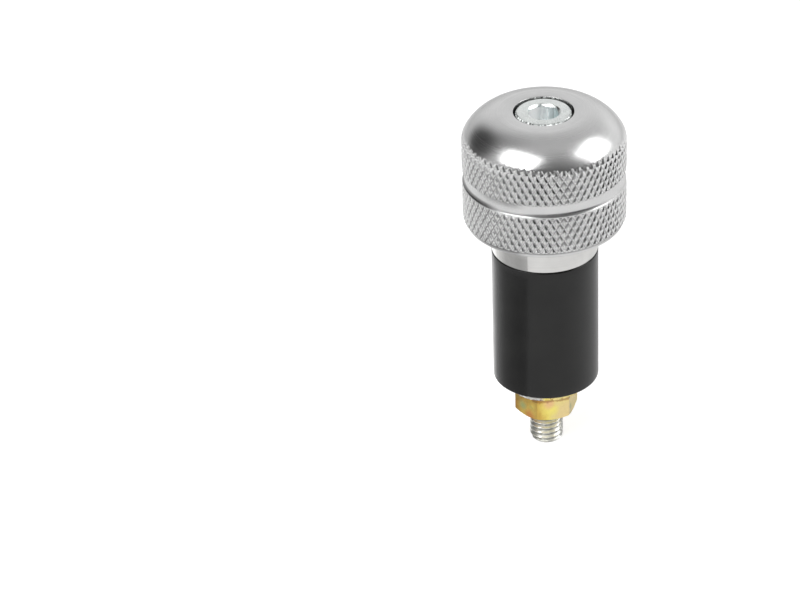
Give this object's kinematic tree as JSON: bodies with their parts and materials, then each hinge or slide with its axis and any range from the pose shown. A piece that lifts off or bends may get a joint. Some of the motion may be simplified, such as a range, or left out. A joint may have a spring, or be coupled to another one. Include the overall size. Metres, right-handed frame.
{
  "type": "bar end weight",
  "caption": "Domed and knurled metal end cap with a collar, an expanding rubber plug, a washer, a flange nut and a socket head screw, for the end of a motorbike handlebar.",
  "frame": {"origin": "on the axis, in the plane of the end cap's flat underside, where the end of the handlebar tube stops", "axes": "+Z along the axis, out of the handlebar, towards the domed face; X and Y are across the part"},
  "size_m": [0.0284, 0.0284, 0.0664],
  "materials": {
    "satin_aluminium": "satin turned",
    "bright_aluminium": "fine turned",
    "black_rubber": "satin",
    "yellow_zinc": "yellow zinc plated",
    "bright_zinc": "bright zinc plated"
  },
  "bodies": {
    "cap_body": {"end_cap": "satin_aluminium", "spacer_collar": "bright_aluminium", "rubber_sleeve": "black_rubber"},
    "screw_body": {"socket_screw": "bright_zinc"},
    "nut_body": {"flange_nut": "yellow_zinc", "washer": "yellow_zinc"}
  },
  "joints": [
    {"name": "screw_turn", "type": "hinge", "parent": "cap_body", "child": "screw_body", "pos_m": [0, 0, 0.0148], "axis": [0, 0, -1], "range_deg": [0, 720]},
    {"name": "nut_draw", "type": "slide", "parent": "cap_body", "child": "nut_body", "axis": [0, 0, 1], "range_m": [0, 0.002], "deforming": ["rubber_sleeve"]}
  ],
  "couplings": [
    {"joint": "screw_turn", "follows": "nut_draw", "rad_per_m": 6283.2}
  ]
}
